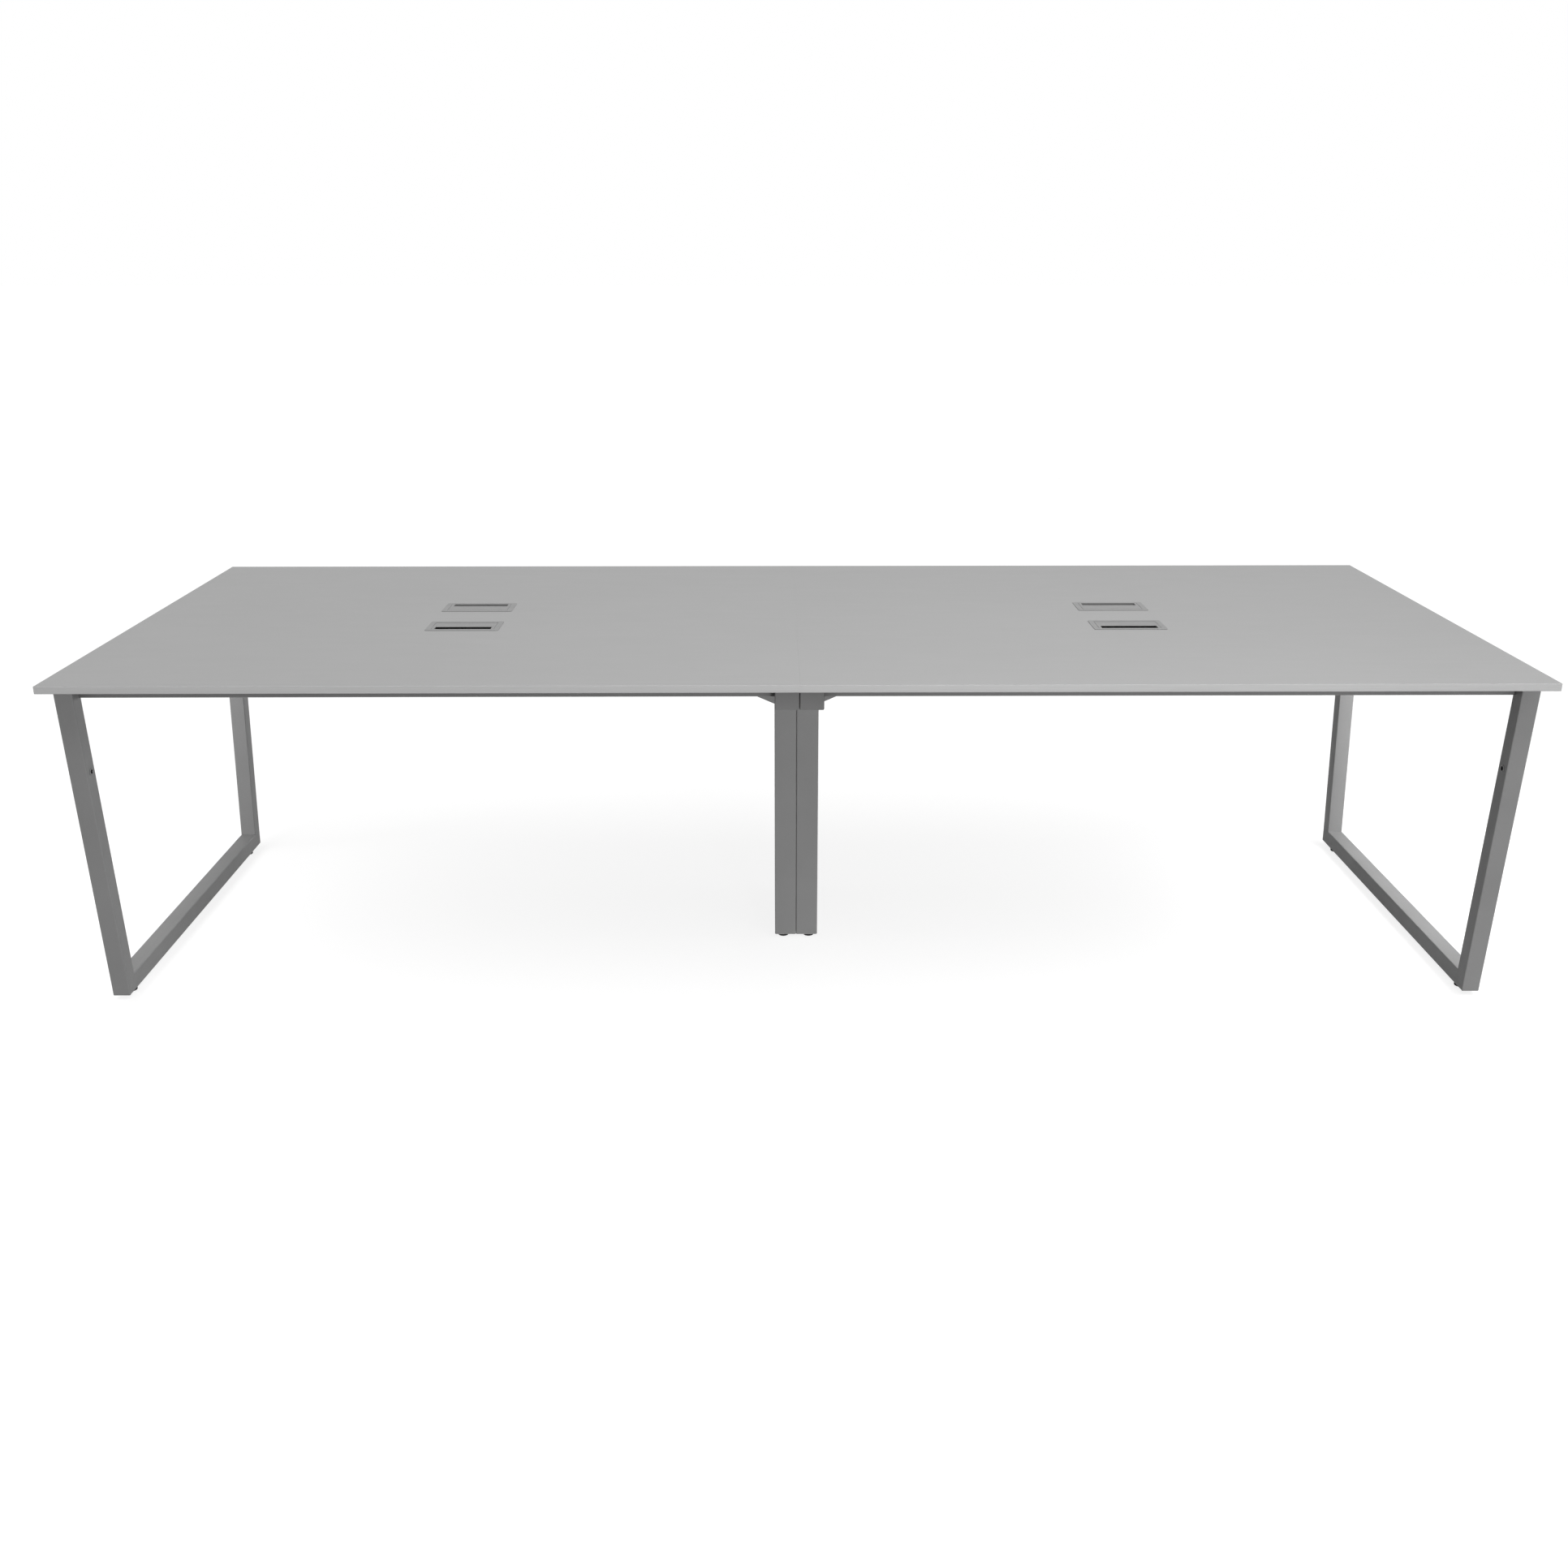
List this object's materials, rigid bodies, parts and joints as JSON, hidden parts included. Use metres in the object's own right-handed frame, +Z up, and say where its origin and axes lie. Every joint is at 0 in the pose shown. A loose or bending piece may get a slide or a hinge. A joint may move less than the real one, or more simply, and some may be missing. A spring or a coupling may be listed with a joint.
{
  "type": "office desk",
  "caption": "Rectangular bench desk on trapezoid tube end frames and a central sheet-metal cable column, with flip-lid cable ports, cable trays under the top and levelling feet.",
  "frame": {"origin": "on the floor under the middle of the desk", "axes": "+X along the desk's length, +Y across it from the front user's side to the rear user's side, +Z up"},
  "size_m": [3, 1.2, 0.7512],
  "materials": {
    "laminate": "light grey melamine-faced board, fine matt grain, matching edge band",
    "frame_paint": "mid grey powder coat, satin",
    "tray_paint": "mid grey powder coat on folded sheet, satin",
    "port_plastic": "grey moulded plastic, fine texture",
    "zinc_steel": "zinc-plated steel",
    "foot_plastic": "black moulded plastic"
  },
  "bodies": {
    "desk": {"desktop_left": "laminate", "desktop_right": "laminate", "leg_front_left": "frame_paint", "leg_front_right": "frame_paint", "leg_rear_left": "frame_paint", "leg_rear_right": "frame_paint", "foot_rail_left": "frame_paint", "foot_rail_right": "frame_paint", "top_rail_left": "frame_paint", "top_rail_right": "frame_paint", "beam_front_left": "frame_paint", "beam_front_right": "frame_paint", "beam_rear_left": "frame_paint", "beam_rear_right": "frame_paint", "crossbeam_left": "frame_paint", "crossbeam_right": "frame_paint", "column_left": "frame_paint", "column_right": "frame_paint", "column_base_left": "zinc_steel", "column_base_right": "zinc_steel", "cable_tray_left": "tray_paint", "cable_tray_right": "tray_paint", "port_bezel_front_left": "port_plastic", "port_bezel_front_right": "port_plastic", "port_bezel_rear_left": "port_plastic", "port_bezel_rear_right": "port_plastic", "hinge_pin_front_left": "zinc_steel", "hinge_pin_front_right": "zinc_steel", "hinge_pin_rear_left": "zinc_steel", "hinge_pin_rear_right": "zinc_steel", "joining_bolt_front": "zinc_steel", "joining_bolt_rear": "zinc_steel", "joining_nut_front": "zinc_steel", "joining_nut_rear": "zinc_steel", "panel_insert_front_left": "zinc_steel", "panel_insert_front_right": "zinc_steel", "panel_insert_rear_left": "zinc_steel", "panel_insert_rear_right": "zinc_steel", "foot_insert_front_left": "zinc_steel", "foot_insert_front_right": "zinc_steel", "foot_insert_rear_left": "zinc_steel", "foot_insert_rear_right": "zinc_steel"},
    "lid_front_left": {"port_lid_front_left": "port_plastic"},
    "lid_front_right": {"port_lid_front_right": "port_plastic"},
    "lid_rear_left": {"port_lid_rear_left": "port_plastic"},
    "lid_rear_right": {"port_lid_rear_right": "port_plastic"},
    "leveller_front_left": {"foot_front_left": "foot_plastic"},
    "leveller_front_right": {"foot_front_right": "foot_plastic"},
    "leveller_rear_left": {"foot_rear_left": "foot_plastic"},
    "leveller_rear_right": {"foot_rear_right": "foot_plastic"},
    "column_leveller_front_left": {"column_foot_front_left": "foot_plastic"},
    "column_leveller_front_right": {"column_foot_front_right": "foot_plastic"},
    "column_leveller_rear_left": {"column_foot_rear_left": "foot_plastic"},
    "column_leveller_rear_right": {"column_foot_rear_right": "foot_plastic"}
  },
  "joints": [
    {"name": "lid_front_left_flip", "type": "hinge", "parent": "desk", "child": "lid_front_left", "pos_m": [-0.75, -0.0677, 0.748], "axis": [-1, 0, 0], "range_deg": [0, 95]},
    {"name": "lid_front_right_flip", "type": "hinge", "parent": "desk", "child": "lid_front_right", "pos_m": [0.75, -0.0677, 0.748], "axis": [-1, 0, 0], "range_deg": [0, 95]},
    {"name": "lid_rear_left_flip", "type": "hinge", "parent": "desk", "child": "lid_rear_left", "pos_m": [-0.75, 0.0677, 0.748], "axis": [1, 0, 0], "range_deg": [0, 95]},
    {"name": "lid_rear_right_flip", "type": "hinge", "parent": "desk", "child": "lid_rear_right", "pos_m": [0.75, 0.0677, 0.748], "axis": [1, 0, 0], "range_deg": [0, 95]},
    {"name": "leveller_front_left_travel", "type": "slide", "parent": "desk", "child": "leveller_front_left", "axis": [0, 0, -1], "range_m": [0, 0.012]},
    {"name": "leveller_front_right_travel", "type": "slide", "parent": "desk", "child": "leveller_front_right", "axis": [0, 0, -1], "range_m": [0, 0.012]},
    {"name": "leveller_rear_left_travel", "type": "slide", "parent": "desk", "child": "leveller_rear_left", "axis": [0, 0, -1], "range_m": [0, 0.012]},
    {"name": "leveller_rear_right_travel", "type": "slide", "parent": "desk", "child": "leveller_rear_right", "axis": [0, 0, -1], "range_m": [0, 0.012]},
    {"name": "column_leveller_front_left_travel", "type": "slide", "parent": "desk", "child": "column_leveller_front_left", "axis": [0, 0, -1], "range_m": [0, 0.012]},
    {"name": "column_leveller_front_right_travel", "type": "slide", "parent": "desk", "child": "column_leveller_front_right", "axis": [0, 0, -1], "range_m": [0, 0.012]},
    {"name": "column_leveller_rear_left_travel", "type": "slide", "parent": "desk", "child": "column_leveller_rear_left", "axis": [0, 0, -1], "range_m": [0, 0.012]},
    {"name": "column_leveller_rear_right_travel", "type": "slide", "parent": "desk", "child": "column_leveller_rear_right", "axis": [0, 0, -1], "range_m": [0, 0.012]}
  ]
}
